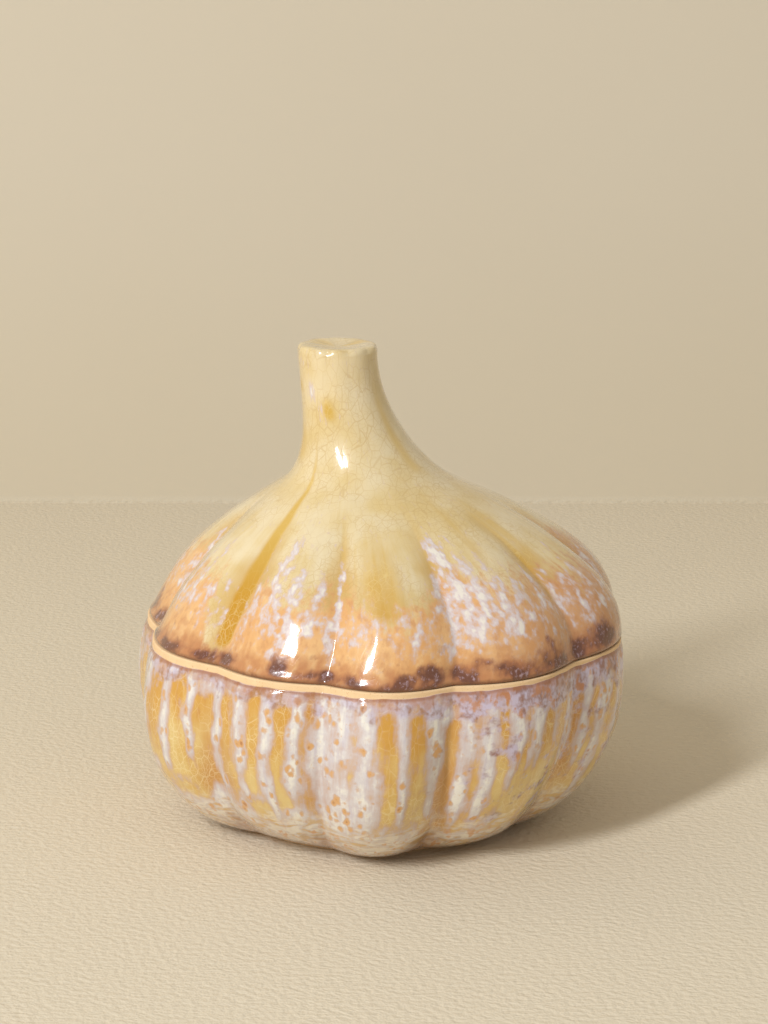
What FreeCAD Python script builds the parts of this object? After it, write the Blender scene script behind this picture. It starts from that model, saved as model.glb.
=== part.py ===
import FreeCAD, Part
import math
import os

# Garlic keeper in slip-cast stoneware, in millimetres. A lobed bowl stands on a foot ring, and the
# lobed lid that rests on its bare rim draws up into a hollow, leaning stem, which is the handle.
# +Z is up and -Y is the front. The origin is the middle of the whole outline, on the table.

# Clay
wall = 5.0                    # thickness of the cast sides
floor = 6.0                   # thickness of the bowl's bottom
points_per_clove = 4          # steps across each clove in a level outline

# Bowl
belly_radius = 65.0           # crest of a clove where the bowl is widest
belly_height = 38.0           # height of that widest level above the table
underside_radius = 34.0       # where the curve of the side would run level with the table
bowl_height = 51.0            # table to the bare rim that the lid rests on
rim_radius = 63.8             # crest of a clove at the glaze line under the bare rim
band_height = 2.3             # bare clay between the glaze line and the top of the rim
band_step = 0.6               # how far the bare clay stands inside the glaze
mouth_radius = 56.5           # round mouth
mouth_depth = 7.0             # height of the straight part of the mouth
mouth_edge = 0.8              # bevel of the mouth's upper edge
bowl_skew = -2.8              # sideways set of the casting at the table, none at the rim

# Foot ring
foot_radius = 38.0
foot_height = 1.5             # height of the ring under the curve of the side
foot_width = 5.0
foot_recess = 1.0             # depth of the hollow inside the ring

# Lid
lid_height = 74.0             # rim to the tip of the stem
lid_inset = 0.2               # how far the lid's edge stands inside the bare rim
lid_edge = 1.2                # bevel of the lid's lower edge
neck_height = 37.4            # rim to the neck, where the dome turns into the stem
neck_radius = 24.3
neck_flare = 1.8              # run outward for each millimetre down, at the neck
shoulder_pull = 17.8          # how far up the edge's direction carries
shoulder_lean = 4.0           # how far in that direction leans over that height
dome_pull = 26.0              # how far down the neck's direction carries
stem_pull = 17.0              # how far up the neck's direction carries
tip_radius = 10.5
tip_round = 1.6               # rounding of the tip's edge
tip_dish = 0.8                # depth of the shallow dish in the tip
tip_rim = 3.0                 # width of the rim round that dish
stem_lean = -12.9             # sideways reach of the tip
shoulder_sway = 7.4           # sideways pulls on the lid's curved centre line
neck_sway = -13.1

# Locating flange under the lid
flange_clearance = 0.8        # gap between the flange and the mouth all round
flange_depth = 5.0            # how far it reaches into the mouth
flange_width = 4.2
flange_edge = 0.8             # bevel of the flange's lower edge

# Cloves round the body, counted from the left. Each has its share of the turn in degrees, and the
# fullness of its crest beyond the belly's radius at the table.
cloves = (
    (38.0, 1.8), (29.2, -2.5), (30.7, 2.5), (35.9, 0.0), (37.7, 0.7),
    (38.0, 0.3), (36.5, -0.5), (39.0, 0.4), (36.0, -0.3), (39.0, 1.5),
)
first_groove = -81.5          # degrees from the front to the first groove, to the right
clove_roundness = 1.15        # over 1 rounds the bottoms of the grooves
rim_fullness = 0.4            # share of the fullness that is left at the rim
inside_softness = 0.6         # share of the lobing that the inside of the casting keeps

# Depth of the grooves between the cloves
groove_at_foot = 2.1
groove_at_belly = 4.0
groove_at_rim = 2.7
groove_on_shoulder = 3.4
groove_on_stem = 0.5

seat = bowl_height
glaze_line = bowl_height - band_height
band_radius = rim_radius - band_step
lid_radius = band_radius - lid_inset
flange_radius = mouth_radius - flange_clearance
flange_bore = flange_radius - flange_width


def mix(start, end, share):
    """The value that lies the given share of the way from start to end."""
    return start + (end - start) * share


def ease(start, end, share):
    """As mix, with a level start and a level end."""
    share = min(max(share, 0.0), 1.0)
    return mix(start, end, share * share * (3.0 - 2.0 * share))


def bezier(ends_and_pulls, share):
    """The point at the given share of a cubic curve with two ends and two pulls between them."""
    weights = ((1 - share) ** 3, 3 * share * (1 - share) ** 2, 3 * share ** 2 * (1 - share), share ** 3)
    return tuple(sum(w * p[axis] for w, p in zip(weights, ends_and_pulls)) for axis in (0, 1))


def inset(outline, distance):
    """An outline of (radius, height) points moved inward, square to itself, by the distance."""
    moved = []
    for index, (radius, height) in enumerate(outline):
        before = outline[max(index - 1, 0)]
        after = outline[min(index + 1, len(outline) - 1)]
        run, rise = after[0] - before[0], after[1] - before[1]
        length = math.hypot(run, rise)
        moved.append((radius - distance * rise / length, height + distance * run / length))
    return moved


def lobed_ring(radius, height, groove, fullness, centre):
    """A closed level outline with one edge for each clove, and grooves of the given depth between.

    Across one clove the radius is groove bottom + (groove + fullness of the clove) times the sine
    of its half turn, raised to the clove roundness."""
    turn = sum(share for share, crest in cloves)
    angle = math.radians(first_groove)
    edges = []
    for share, crest in cloves:
        width = math.radians(360.0 * share / turn)
        points, bearings = [], []
        for step in range(points_per_clove + 1):
            across = step / points_per_clove
            bulge = max(math.sin(math.pi * across), 0.0) ** clove_roundness
            reach = radius - groove + (groove + fullness * crest) * bulge
            bearing = angle + width * across
            points.append(FreeCAD.Vector(centre + reach * math.sin(bearing), -reach * math.cos(bearing), height))
            bearings.append(bearing)
        curve = Part.BSplineCurve()
        curve.interpolate(Points=points, Parameters=bearings)
        edges.append(curve.toShape())
        angle += width
    return Part.Wire(edges)


def round_ring(radius, height, centre=0.0):
    """A level circle, divided at the grooves' bearings as the lobed rings are."""
    return lobed_ring(radius, height, 0.0, 0.0, centre)


def solid_through(rings):
    """The solid whose skin runs smoothly, as a cubic, through a stack of rings."""
    return Part.makeLoft(rings, True, False, False, 3)


def stack(rings):
    """The solid whose skin runs straight from each ring to the next."""
    return Part.makeLoft(rings, True, True)


def bowl_skew_at(height):
    """Sideways set of the bowl's outline at a height."""
    return bowl_skew * (1.0 - height / bowl_height)


def bowl_groove_at(height):
    """Depth of the bowl's grooves at a height."""
    if height < belly_height / 2:
        return ease(groove_at_foot, groove_at_belly, 2 * height / belly_height)
    return ease(groove_at_belly, groove_at_rim, (height - belly_height / 2) / (bowl_height - belly_height / 2))


def bowl_fullness_at(height):
    """Share of the cloves' own fullness that the bowl shows at a height."""
    return mix(1.0, rim_fullness, (height / bowl_height) ** 2)


def bowl_ring(radius, height, softness=1.0):
    """One level outline of the bowl, lobed as the softness says."""
    groove = bowl_groove_at(height) * softness
    return lobed_ring(radius, height, groove, bowl_fullness_at(height) * softness, bowl_skew_at(height))


def bowl_outside():
    """The bowl's glazed outside: a quarter ellipse from the foot to the belly, then in to the rim."""
    rings = []
    start = math.acos(1.0 - foot_height / belly_height)
    steps = 5
    for step in range(steps + 1):
        lift = mix(start, math.pi / 2, step / steps)
        radius = mix(underside_radius, belly_radius, math.sin(lift))
        rings.append(bowl_ring(radius, belly_height * (1.0 - math.cos(lift))))
    rings.append(bowl_ring(rim_radius, glaze_line))
    return solid_through(rings)


def bowl_inside():
    """The hollow that the sides leave: a quarter ellipse from the floor, then in to the round mouth."""
    rings = []
    steps = 4
    for step in range(steps + 1):
        lift = mix(0.0, math.pi / 2, step / steps)
        radius = mix(underside_radius, belly_radius - wall, math.sin(lift))
        height = mix(floor, belly_height, 1.0 - math.cos(lift))
        rings.append(bowl_ring(radius, height, inside_softness))
    rings.append(round_ring(mouth_radius, bowl_height - mouth_depth))
    return solid_through(rings)


def bowl_mouth():
    """The straight round mouth with its bevelled upper edge."""
    return stack([
        round_ring(mouth_radius, bowl_height - mouth_depth),
        round_ring(mouth_radius, bowl_height - mouth_edge),
        round_ring(mouth_radius + mouth_edge, bowl_height),
    ])


def bowl_foot():
    """The foot ring, with the shallow hollow inside it left open."""
    centre = bowl_skew_at(0.0)
    ring = stack([round_ring(foot_radius, 0.0, centre), round_ring(foot_radius, foot_height, centre)])
    inner_radius = foot_radius - foot_width
    return ring, stack([round_ring(inner_radius, 0.0, centre), round_ring(inner_radius, foot_recess, centre)])


def make_bowl():
    """The bowl with its foot ring, its bare rim and its straight round mouth."""
    band = stack([bowl_ring(band_radius, glaze_line), bowl_ring(band_radius, bowl_height)])
    foot, recess = bowl_foot()
    clay = bowl_outside().fuse([band, foot])
    for hollow in (bowl_inside(), bowl_mouth(), recess):
        clay = clay.cut(hollow)
    return clay


def lid_outline():
    """The lid's (radius, height) points from its edge over the dome and up the stem to the tip."""
    slope = math.hypot(neck_flare, 1.0)
    along = (neck_flare / slope, -1.0 / slope)
    edge, neck, tip = (lid_radius, lid_edge), (neck_radius, neck_height), (tip_radius, lid_height - tip_round)
    over_dome = (neck[0] + dome_pull * along[0], neck[1] + dome_pull * along[1])
    under_stem = (neck[0] - stem_pull * along[0], neck[1] - stem_pull * along[1])
    dome = (edge, (lid_radius - shoulder_lean, shoulder_pull), over_dome, neck)
    stem = (neck, under_stem, (tip_radius, lid_height - 2 * tip_round), tip)
    over = [bezier(dome, step / 5) for step in range(6)]
    return over + [bezier(stem, step / 4) for step in range(1, 5)]


def lid_centre_at(height):
    """Sideways place of the lid's centre line at a height above the rim."""
    pulls = ((0.0, 0.0), (shoulder_sway, 0.0), (neck_sway, 0.0), (stem_lean, 0.0))
    return bezier(pulls, min(max(height / lid_height, 0.0), 1.0))[0]


def lid_groove_at(height):
    """Depth of the lid's grooves at a height above the rim."""
    shoulder = neck_height / 2
    if height < shoulder:
        return ease(groove_at_rim, groove_on_shoulder, height / shoulder)
    return ease(groove_on_shoulder, groove_on_stem, (height - shoulder) / (neck_height - shoulder))


def lid_ring(radius, height, softness=1.0):
    """One level outline of the lid at a height above the rim, lobed as the softness says."""
    groove = lid_groove_at(height) * softness
    fullness = rim_fullness * max(1.0 - height / neck_height, 0.0) * softness
    return lobed_ring(radius, seat + height, groove, fullness, lid_centre_at(height))


def lid_outside():
    """The lid's glazed outside, with its lower edge bevelled and its tip rounded."""
    over = [lid_ring(radius, height) for radius, height in lid_outline()]
    edge = [lid_ring(lid_radius - lid_edge, 0.0), lid_ring(lid_radius, lid_edge)]
    tip = []
    for turn in (0.0, math.pi / 4, math.pi / 2):
        radius = tip_radius - tip_round * (1.0 - math.cos(turn))
        tip.append(lid_ring(radius, lid_height - tip_round * (1.0 - math.sin(turn))))
    return solid_through(over).fuse([stack(edge), stack(tip)])


def lid_inside():
    """The hollow under the dome and up the stem, one wall inside the outline.

    It starts at the bore of the flange, meets the inset outline two walls up and stops one wall
    under the dish in the tip."""
    top = lid_height - wall - tip_dish
    middle = [(radius, height) for radius, height in inset(lid_outline(), wall) if 2 * wall < height < top - wall]
    rings = [round_ring(flange_bore, seat)]
    rings += [lid_ring(radius, height, inside_softness) for radius, height in middle]
    rings.append(round_ring(tip_radius - wall, seat + top, lid_centre_at(top)))
    return solid_through(rings)


def lid_flange():
    """The locating flange with its bevelled lower edge, and its bore."""
    lower = seat - flange_depth
    ring = stack([
        round_ring(flange_radius - flange_edge, lower),
        round_ring(flange_radius, lower + flange_edge),
        round_ring(flange_radius, seat),
    ])
    return ring, stack([round_ring(flange_bore, lower), round_ring(flange_bore, seat)])


def tip_hollow():
    """The ball whose lower cap hollows the shallow dish in the tip."""
    dish_radius = tip_radius - tip_rim
    ball_radius = (dish_radius ** 2 + tip_dish ** 2) / (2 * tip_dish)
    middle = FreeCAD.Vector(lid_centre_at(lid_height), 0, seat + lid_height - tip_dish + ball_radius)
    return Part.makeSphere(ball_radius, middle)


def make_lid():
    """The lid: dome and stem in one casting, the flange under it and the dish in its tip."""
    flange, bore = lid_flange()
    clay = lid_outside().fuse(flange)
    for hollow in (bore, lid_inside(), tip_hollow()):
        clay = clay.cut(hollow)
    return clay


def main():
    """Build both pieces, set the middle of their outline on the origin and write them out."""
    os.makedirs("parts", exist_ok=True)
    pieces = {"bowl": make_bowl(), "lid": make_lid()}
    outline = Part.makeCompound(list(pieces.values())).BoundBox
    for name, shape in pieces.items():
        shape.translate(FreeCAD.Vector(-outline.Center.x, -outline.Center.y, -outline.ZMin))
        shape.exportStep(f"parts/{name}.step")
        print(name, "valid", shape.isValid(), "solids", len(shape.Solids), "volume", round(shape.Volume))
    print("rim axis at", round(-outline.Center.x, 3), round(-outline.Center.y, 3))


main()
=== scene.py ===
import math

import bpy
import numpy as np
from mathutils import Matrix, Vector


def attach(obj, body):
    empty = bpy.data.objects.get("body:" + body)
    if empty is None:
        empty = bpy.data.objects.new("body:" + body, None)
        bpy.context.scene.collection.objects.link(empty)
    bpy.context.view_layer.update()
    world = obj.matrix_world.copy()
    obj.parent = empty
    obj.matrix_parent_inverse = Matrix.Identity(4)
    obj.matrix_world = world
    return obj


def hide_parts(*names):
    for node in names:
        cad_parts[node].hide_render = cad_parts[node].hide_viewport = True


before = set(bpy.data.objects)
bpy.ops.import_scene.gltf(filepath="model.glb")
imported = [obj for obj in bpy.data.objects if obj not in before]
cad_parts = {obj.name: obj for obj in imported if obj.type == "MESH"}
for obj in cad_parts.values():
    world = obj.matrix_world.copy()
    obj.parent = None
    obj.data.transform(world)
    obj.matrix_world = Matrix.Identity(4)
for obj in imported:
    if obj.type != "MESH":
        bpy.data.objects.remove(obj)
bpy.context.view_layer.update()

# Garlic keeper in glazed stoneware. Shapes are worked out in millimetres round the axis of the rim,
# with +Z up and -Y the front, then set into the frame in metres. Bearings are in degrees from the
# front towards +X. The sizes are those of the clay part.
MM = 0.001
AXIS = np.array([1.947, 0.927, 0.0])      # the rim's axis in the frame

# Sizes of the clay, as in the part, in mm.
WALL, FLOOR = 5.0, 6.0
BELLY_R, BELLY_H, UNDER_R = 65.0, 38.0, 34.0
BOWL_H, RIM_R, BAND_H, BAND_STEP = 51.0, 63.8, 2.3, 0.6
MOUTH_R, MOUTH_DEPTH, MOUTH_EDGE, BOWL_SKEW = 56.5, 7.0, 0.8, -2.8
FOOT_R, FOOT_H, FOOT_W, FOOT_RECESS = 38.0, 1.5, 5.0, 1.0
LID_H, LID_INSET, LID_EDGE = 74.0, 0.2, 1.2
NECK_H, NECK_R, NECK_FLARE = 37.4, 24.3, 1.8
SHOULDER_PULL, SHOULDER_LEAN, DOME_PULL, STEM_PULL = 17.8, 4.0, 26.0, 17.0
TIP_R, TIP_ROUND, TIP_DISH, TIP_RIM = 10.5, 1.6, 0.8, 3.0
CENTRE_LINE = (0.0, 7.4, -13.1, -12.9)    # sideways ends and pulls of the lid's centre line
FLANGE_GAP, FLANGE_DEPTH, FLANGE_W, FLANGE_EDGE = 0.8, 5.0, 4.2, 0.8
CLOVES = np.array([(38.0, 1.8), (29.2, -2.5), (30.7, 2.5), (35.9, 0.0), (37.7, 0.7),
                   (38.0, 0.3), (36.5, -0.5), (39.0, 0.4), (36.0, -0.3), (39.0, 1.5)])
FIRST_GROOVE, ROUNDNESS, RIM_FULLNESS, INSIDE_SOFTNESS = -81.5, 1.15, 0.4, 0.6
GROOVE_FOOT, GROOVE_BELLY, GROOVE_RIM, GROOVE_SHOULDER, GROOVE_STEM = 2.1, 4.0, 2.7, 3.4, 0.5
GLAZE_LINE = BOWL_H - BAND_H
BAND_R = RIM_R - BAND_STEP
LID_R = BAND_R - LID_INSET
FLANGE_R = MOUTH_R - FLANGE_GAP
FLANGE_BORE = FLANGE_R - FLANGE_W

# The grid, and the glaze that lies on the clay, in mm.
COLUMNS = 54                              # columns of the grid across each clove
INNERMOST = 4.0                           # radius of the ring nearest the middle of the bowl
ROUND = 0.4                               # reach of a small rounded corner
FLAT = 1.2                                # where the flat beside a rounded corner starts
GLAZE_ROUND = 2.2                         # height over which the glaze rounds off to the bare band
GLAZE_DRAWN_IN = 0.5                      # how far it has drawn in at the end of that height
VALLEY = 0.8                              # how far the glazed valleys draw in
BRIM = 8.0                                # height of the zone under the glaze's upper edge
DRUM = 60.0                               # radius of the drum that the glaze's flow is laid round


# Small sums.
def mix(start, end, share):
    """The value that lies the given share of the way from start to end."""
    return start + (end - start) * share


def ease(start, end, share):
    """As mix, with a level start and a level end: the share s, held within 0 and 1, becomes
    3 s squared less 2 s cubed."""
    share = np.clip(share, 0.0, 1.0)
    return mix(start, end, share * share * (3.0 - 2.0 * share))


def bezier(ends_and_pulls, share):
    """Points of a cubic curve at an array of shares t: its first end times (1 - t) cubed, the two pulls
    times 3 t (1 - t) squared and 3 t squared (1 - t), and its last end times t cubed, added up."""
    a, b, c, d = (np.asarray(p, float) for p in ends_and_pulls)
    t = np.asarray(share, float)
    t = t[..., None] if a.ndim else t
    return (1 - t) ** 3 * a + 3 * t * (1 - t) ** 2 * b + 3 * t * t * (1 - t) * c + t ** 3 * d


def soft_noise(points, size, seed):
    """Smooth noise from -1 to 1: random numbers at the corners of cells of the given size, each weighted
    by the eased nearness of the point to its corner. The seed picks the pattern."""
    cells = 32
    lattice = np.random.default_rng(seed).uniform(-1.0, 1.0, (cells, cells, cells))
    cell = points / np.asarray(size, float)
    base = np.floor(cell).astype(int)
    share = ease(0.0, 1.0, cell - base)
    total = 0.0
    for side in np.ndindex(2, 2, 2):
        weight = np.prod(np.where(side, share, 1.0 - share), axis=-1)
        i, j, k = np.moveaxis((base + side) % cells, -1, 0)
        total = total + weight * lattice[i, j, k]
    return total


def hump(distance, width):
    """A smooth bump: 1 at no distance, 0 from the width on."""
    return ease(1.0, 0.0, np.abs(distance) / width)


def apart(bearing, other):
    """Degrees between two bearings, the short way round."""
    return (bearing - other + 180.0) % 360.0 - 180.0


def above(value, start, span):
    """0 up to the start, 1 from a span above it, and eased between."""
    return ease(0.0, 1.0, (value - start) / span)


def below(value, start, span):
    """1 up to the start, 0 from a span above it, and eased between."""
    return ease(1.0, 0.0, (value - start) / span)


# The lobed rings.
turns = CLOVES[:, 0] / CLOVES[:, 0].sum() * 360.0
starts = FIRST_GROOVE + np.concatenate([[0.0], np.cumsum(turns)[:-1]])
across = np.arange(COLUMNS) / COLUMNS
BEARING = (starts[:, None] + turns[:, None] * across).ravel()
BULGE = np.tile(np.sin(np.pi * across) ** ROUNDNESS, len(CLOVES))
CREST = np.repeat(CLOVES[:, 1], COLUMNS)
OUTWARD = np.stack([np.sin(np.radians(BEARING)), -np.cos(np.radians(BEARING)), 0 * BEARING], -1)


def lobed(radius, height, groove, fullness, centre):
    """Rings of points, one for each radius.

    Across one clove the reach is the groove's bottom plus (groove + fullness of the clove) times
    the sine of its half turn, raised to the roundness."""
    radius, height, groove, fullness, centre = (np.asarray(v, float)[:, None] for v in
                                                (radius, height, groove, fullness, centre))
    reach = radius - groove + (groove + fullness * CREST) * BULGE
    points = reach[..., None] * OUTWARD
    points[..., 0] += centre
    points[..., 2] += height
    return points


def bowl_groove(height):
    """Depth of the bowl's grooves: easing from the foot to half the belly's height, then to the rim."""
    half = BELLY_H / 2
    return np.where(height < half, ease(GROOVE_FOOT, GROOVE_BELLY, height / half),
                    ease(GROOVE_BELLY, GROOVE_RIM, (height - half) / (BOWL_H - half)))


def lid_groove(height):
    """Depth of the lid's grooves: easing from the rim to half the neck's height, then to the neck."""
    half = NECK_H / 2
    return np.where(height < half, ease(GROOVE_RIM, GROOVE_SHOULDER, height / half),
                    ease(GROOVE_SHOULDER, GROOVE_STEM, (height - half) / (NECK_H - half)))


def lid_centre(height):
    """Sideways place of the lid's centre line, a cubic curve of the height above the rim."""
    return bezier(CENTRE_LINE, np.clip(height / LID_H, 0.0, 1.0))


def corner(first, middle, last, count):
    """A rounded corner, a quadratic curve at shares t: the first point times (1 - t) squared, the middle
    one times 2 t (1 - t), and the last one times t squared, added up."""
    t = np.linspace(0, 1, count)[:, None]
    first, middle, last = (np.asarray(p, float) for p in (first, middle, last))
    return (1 - t) ** 2 * first + 2 * t * (1 - t) * middle + t * t * last


def line(first, last, count):
    """Points on a straight line, both ends included."""
    return mix(np.asarray(first, float), np.asarray(last, float), np.linspace(0, 1, count)[:, None])


# Fields painted over the grid.
# White runs on the bowl: bearing, half width in degrees, lowest height in mm, strength.
FRONT_RUNS = (
    (-81, 2.2, 14, 0.8), (-75, 2.2, 12, 0.9), (-67, 2.1, 6, 1.0), (-57, 2.1, 17, 0.95),
    (-49.3, 1.7, 24, 1.0), (-41, 1.5, 14, 0.95), (-34.3, 2.1, 14, 1.0), (-26.6, 2.1, 10, 1.0),
    (-19.5, 2.1, 7, 1.0), (-13, 3.0, 4, 1.0), (-8, 3.0, 6, 0.95), (-3.5, 2.6, 6, 1.0),
    (4.4, 1.8, 10, 1.0), (11.6, 2.1, 14, 1.0), (19.6, 2.1, 7, 1.0), (25.0, 2.1, 9, 1.0),
    (31.5, 2.0, 20, 0.9), (36.5, 2.0, 24, 0.9), (43, 2.0, 28, 0.85), (50, 2.2, 12, 0.95),
    (56, 2.0, 20, 0.9), (62, 2.4, 10, 1.0), (69, 2.2, 16, 0.9),
)
# White fingers on the lid: bearing, half width in degrees, lowest and highest height in mm, strength.
# The last four are the patches near the tip of the stem.
LID_FINGERS = (
    (-84, 3.5, 8, 27, 0.8), (-75, 3, 8, 24, 0.9), (-68, 3.4, 8, 25, 0.9), (-61, 3.0, 10, 27, 0.9),
    (-54, 2.4, 8, 22, 0.8), (-40, 3.2, 5, 24, 0.9), (-32.5, 4.0, 9, 32, 1.0),
    (-27.5, 4.2, 4, 28, 1.0), (-21, 2.8, 8, 25, 0.9), (-14, 2.8, 3, 29, 1.0), (-7, 3.4, 9, 20, 0.8),
    (0, 4.0, 12, 18, 0.8), (8, 3.6, 8, 19, 0.8), (15.5, 3.4, 5, 27, 1.0), (20.5, 5.0, 8, 33, 1.15),
    (26.5, 5.0, 9, 31, 1.1), (33, 4.2, 8, 27, 1.0), (39.5, 4.0, 9, 25, 0.95),
    (47, 3.0, 12, 25, 0.9), (53, 3.6, 10, 24, 0.9), (60, 3.6, 6, 21, 0.8), (68, 3.4, 8, 26, 0.9),
    (77, 3.4, 10, 24, 0.9), (-46, 9, 59, 67, 1.0), (-31, 7, 56, 61, 1.0), (-66, 9, 68, 73, 1.0),
    (38, 8, 66, 72, 0.5),
)
# Mean height of the edge of the apricot skirt, and its rises: bearing, half width in degrees, rise in mm.
SKIRT_MEAN = 19.0
SKIRT_RISES = (
    (-84, 9, 2), (-66, 9, 1), (-48, 4.5, -18), (-36, 6, 0), (-14, 8, 1), (0, 9, -3), (24, 11, 5),
    (50, 9, 3), (72, 9, 3),
)
# Amber pooled on the lid: bearing, half width in degrees, lowest and highest height in mm, strength.
# The last six are patches on the stem and round its tip.
LID_POOLS = (
    (-45.5, 2.6, 3, 60, 1.2), (-1.5, 8.5, 13, 40, 0.6), (36, 3.5, 24, 46, 0.4),
    (52, 4.5, 12, 46, 0.6), (17.5, 3.0, 22, 42, 0.35), (-14, 2.2, 18, 42, 0.4),
    (57, 4.0, 20, 42, 0.5), (-78, 3.5, 14, 38, 0.4), (90, 3.5, 10, 38, 0.6), (118, 7, 14, 40, 0.4),
    (155, 3, 4, 36, 0.9), (186, 8, 16, 40, 0.4), (222, 3, 4, 36, 0.9), (258, 7, 14, 40, 0.4),
    (-76, 15, 42, 60, 0.7), (-74, 12, 60, 68, 0.8), (-22, 10, 54, 64, 0.9), (-130, 32, 69, 77, 0.8),
    (120, 26, 69, 77, 0.8), (52, 10, 40, 74, 0.5),
)
# Dark burnt patches along the lid's edge: bearing, half width in degrees, height and half height in mm.
LID_BURNS = (
    (-74, 11, 1.8, 3.2), (-62, 8, 1.8, 3.0), (-50, 6, 2.4, 3.8), (-42.5, 5, 2.6, 3.6),
    (-26, 3.6, 4.2, 5.0), (-16, 7, 1.4, 2.6), (-8, 6, 1.8, 3.0), (1.5, 6, 2.0, 3.6),
    (10, 7, 2.0, 4.0), (19, 6, 2.4, 4.4), (32, 9, 2.0, 4.0), (44, 8, 3.2, 5.0), (54, 7, 2.6, 4.6),
    (62, 8, 4.2, 6.0), (76, 8, 3, 4.5), (90, 8, 3, 4.5),
)


def scattered(first, last, step, ranges, seed):
    """Rows for the sides and the back: uneven bearings from first to last, each followed by one
    number from each range."""
    dice = np.random.default_rng(seed)
    rows, bearing = [], first
    while bearing < last:
        rows.append((bearing, *(dice.uniform(low, high) for low, high in ranges)))
        bearing += step * dice.uniform(0.6, 1.5)
    return tuple(rows)


BACK_RUNS = scattered(75, 275, 5.5, ((1.3, 2.4), (5, 26), (0.7, 1.0)), seed=5)
BACK_FINGERS = scattered(84, 272, 7.0, ((2, 3.4), (4, 13), (20, 31), (0.6, 1)), seed=6)
BACK_RISES = scattered(90, 268, 14.0, ((6, 11), (-4, 5)), seed=8)
BACK_BURNS = scattered(98, 282, 11.0, ((3.5, 7), (2.4, 5), (2.6, 4.6)), seed=7)


def bowl_milk(bearing, height, patches):
    """White glaze on the bowl from 0 to 1, the greatest of four parts: a curtain under the rim, runs
    that get thinner down to their lowest height, a field a little left of the middle, and a zone
    round the foot. Patches is noise from -1 to 1 that breaks up each of them."""
    milk = (0.35 + 0.6 * patches) * above(height + 5.0 * patches, 40.0, 6.0)
    for place, width, lowest, strength in FRONT_RUNS + BACK_RUNS:
        thin = mix(0.7, 1.1, above(height, lowest, 18.0))
        run = hump(apart(bearing, place), 1.65 * width * thin) * above(height, lowest, 6.0)
        milk = np.maximum(milk, strength * run)
    field = (0.86 + 0.3 * patches) * hump(apart(bearing, -9.0), 13.0) * above(height, 4.0, 5.0)
    foot = (0.55 + 0.5 * patches) * below(height - 6.0 * patches, 11.0, 9.0)
    return np.maximum(np.maximum(milk * (0.9 + 0.3 * patches), field), foot)


def lid_skirt(bearing, height):
    """The lid's apricot skirt: 1 below an edge, 0 above it, over 16 mm. The edge is the mean height
    plus a hump for each rise."""
    edge = SKIRT_MEAN
    for place, width, rise in SKIRT_RISES + BACK_RISES:
        edge = edge + rise * hump(apart(bearing, place), 1.5 * width)
    return below(height, edge - 8.0, 16.0)


def lid_flecks(bearing, height):
    """How thickly white flecks lie on the lid: a thin scatter low down, or where it is more, a hump for
    each finger that gets half as wide from its lowest height to its highest."""
    flecks = 0.5 * above(height, 4.0, 8.0) * below(height, 15.0, 8.0)
    for place, width, low, high, strength in LID_FINGERS + BACK_FINGERS:
        upright = above(height, low - 3.0, 8.0) * below(height, high - 5.0, 7.0)
        thin = mix(1.0, 0.5, above(height, low, high - low))
        flecks = np.maximum(flecks, strength * upright * hump(apart(bearing, place), 1.7 * width * thin))
    return flecks


def lid_pool(bearing, height):
    """Amber glaze pooled on the lid: for each pool a hump across, times a quick rise from its lowest
    height and a slow fall to its highest."""
    pool = 0.0
    for place, width, low, high, strength in LID_POOLS:
        upright = above(height, low, 4.0) * below(height, mix(low, high, 0.35), 0.65 * (high - low))
        pool = np.maximum(pool, strength * upright * hump(apart(bearing, place), 1.5 * width))
    return pool


def lid_burn(bearing, height):
    """Dark burnt patches along the lid's edge, from 0 to 1: a hump of the distance from each one's
    middle, measured in its own half width and half height."""
    burn = 0.0
    for place, width, level, half in LID_BURNS + BACK_BURNS:
        distance = np.hypot(apart(bearing, place) / width, (height - level) / half)
        burn = np.maximum(burn, hump(distance, 1.25))
    return burn


# Meshes.
def quads_between(grid):
    """A quad for each four neighbours in a grid of vertex numbers."""
    return np.stack([grid[:-1, :-1], grid[:-1, 1:], grid[1:, 1:], grid[1:, :-1]], -1).reshape(-1, 4)


def in_scene(name, points, faces):
    """A new object in the scene, from points in mm and lists of vertex numbers."""
    mesh = bpy.data.meshes.new(name)
    mesh.from_pydata(points * MM, [], faces)
    piece = bpy.data.objects.new(name, mesh)
    bpy.context.scene.collection.objects.link(piece)
    return piece


def with_middles(values):
    """A grid's values in one list, between the mean of its first ring and the mean of its last."""
    parts = (values[:1].mean(1), values, values[-1:].mean(1))
    return np.concatenate([part.reshape(-1, values[0, 0].size) for part in parts])


def skin(name, rings, body, fields):
    """A closed skin over rings of points: a quad for each four neighbours, and at each end a fan round
    the middle of the last ring. A field holds one number or one vector for each point."""
    rows, columns = rings.shape[:2]
    points = with_middles(rings)
    grid = 1 + np.arange(rows * columns).reshape(rows, columns)
    grid = np.concatenate([grid, grid[:, :1]], axis=1)
    first = np.stack([np.zeros(columns, int), grid[0, 1:], grid[0, :-1]], -1)
    last = np.stack([np.full(columns, len(points) - 1), grid[-1, :-1], grid[-1, 1:]], -1)
    faces = first.tolist() + quads_between(grid).tolist() + last.tolist()
    piece = in_scene(name, points + AXIS, faces)
    for field, values in fields.items():
        kind, key = ("FLOAT_VECTOR", "vector") if values.ndim == 3 else ("FLOAT", "value")
        layer = piece.data.attributes.new(field, kind, "POINT")
        layer.data.foreach_set(key, with_middles(values).astype(np.float32).ravel())
    piece.data.polygons.foreach_set("use_smooth", np.ones(len(faces), bool))
    piece.data.update()
    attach(piece, body)
    return piece


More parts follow.
